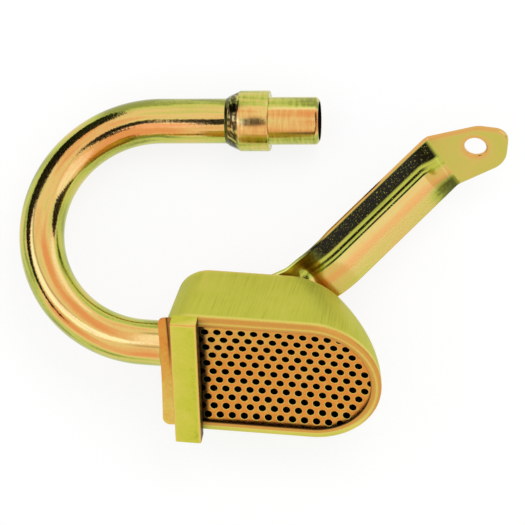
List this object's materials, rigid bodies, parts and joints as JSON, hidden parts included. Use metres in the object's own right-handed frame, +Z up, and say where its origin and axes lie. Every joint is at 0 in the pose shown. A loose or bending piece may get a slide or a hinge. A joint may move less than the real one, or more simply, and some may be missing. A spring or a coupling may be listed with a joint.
{
  "type": "oil pickup tube",
  "caption": "Oil pickup: D-shaped strainer cup with a dished perforated screen and standoff bar, U-bent suction tube with a turned press-in spigot, and a pressed stay with a bolt hole.",
  "frame": {"origin": "under the middle of the part's box, on the bench it lies on", "axes": "+X along the strainer from the tube end to the round nose, +Z up from the bench as the part lies with its screen facing up and forwards"},
  "size_m": [0.192, 0.1436, 0.0674],
  "materials": {
    "plated_shell": "yellow chromate on zinc, satin, greenish gold",
    "plated_screen": "yellow chromate on zinc, satin, orange gold",
    "plated_bar": "yellow chromate on zinc, satin",
    "plated_tube": "yellow chromate on zinc, glossy with long streaks",
    "plated_fitting": "yellow chromate on zinc, turned, glossy",
    "plated_stay": "yellow chromate on zinc, glossy"
  },
  "bodies": {
    "root": {"strainer_shell": "plated_shell", "strainer_screen": "plated_screen", "standoff_bar": "plated_bar", "pickup_tube": "plated_tube", "pump_fitting": "plated_fitting", "stay_bracket": "plated_stay"}
  },
  "joints": []
}
